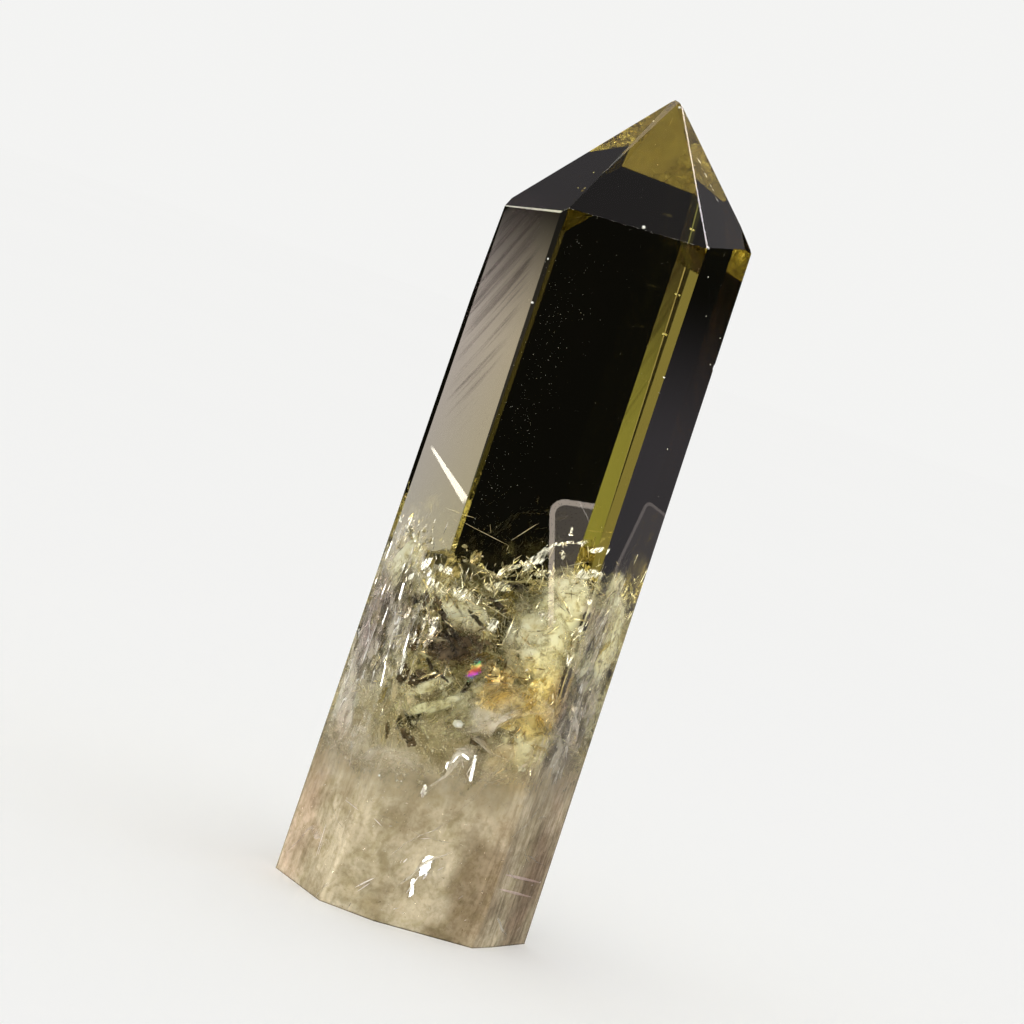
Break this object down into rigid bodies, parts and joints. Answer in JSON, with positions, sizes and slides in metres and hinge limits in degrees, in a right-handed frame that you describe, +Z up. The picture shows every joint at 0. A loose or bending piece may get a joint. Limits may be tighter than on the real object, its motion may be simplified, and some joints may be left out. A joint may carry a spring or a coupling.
{
  "type": "lemon quartz crystal",
  "caption": "Polished natural lemon quartz point that stands upright on a flat sawn base: a clear six-sided prism with a faceted tip and a cloudy, fractured foot.",
  "frame": {"origin": "middle of the sawn base's bounding rectangle, on the surface that the crystal stands on", "axes": "+Z up along the crystal's length to its tip, -Y out of the broad front face, +X to the right of it"},
  "size_m": [0.028, 0.0241, 0.091],
  "materials": {
    "lemon_quartz": "polished clear quartz with a lemon yellow body colour, cloudy and fractured towards the foot"
  },
  "bodies": {
    "root": {"quartz_crystal": "lemon_quartz"}
  },
  "joints": []
}
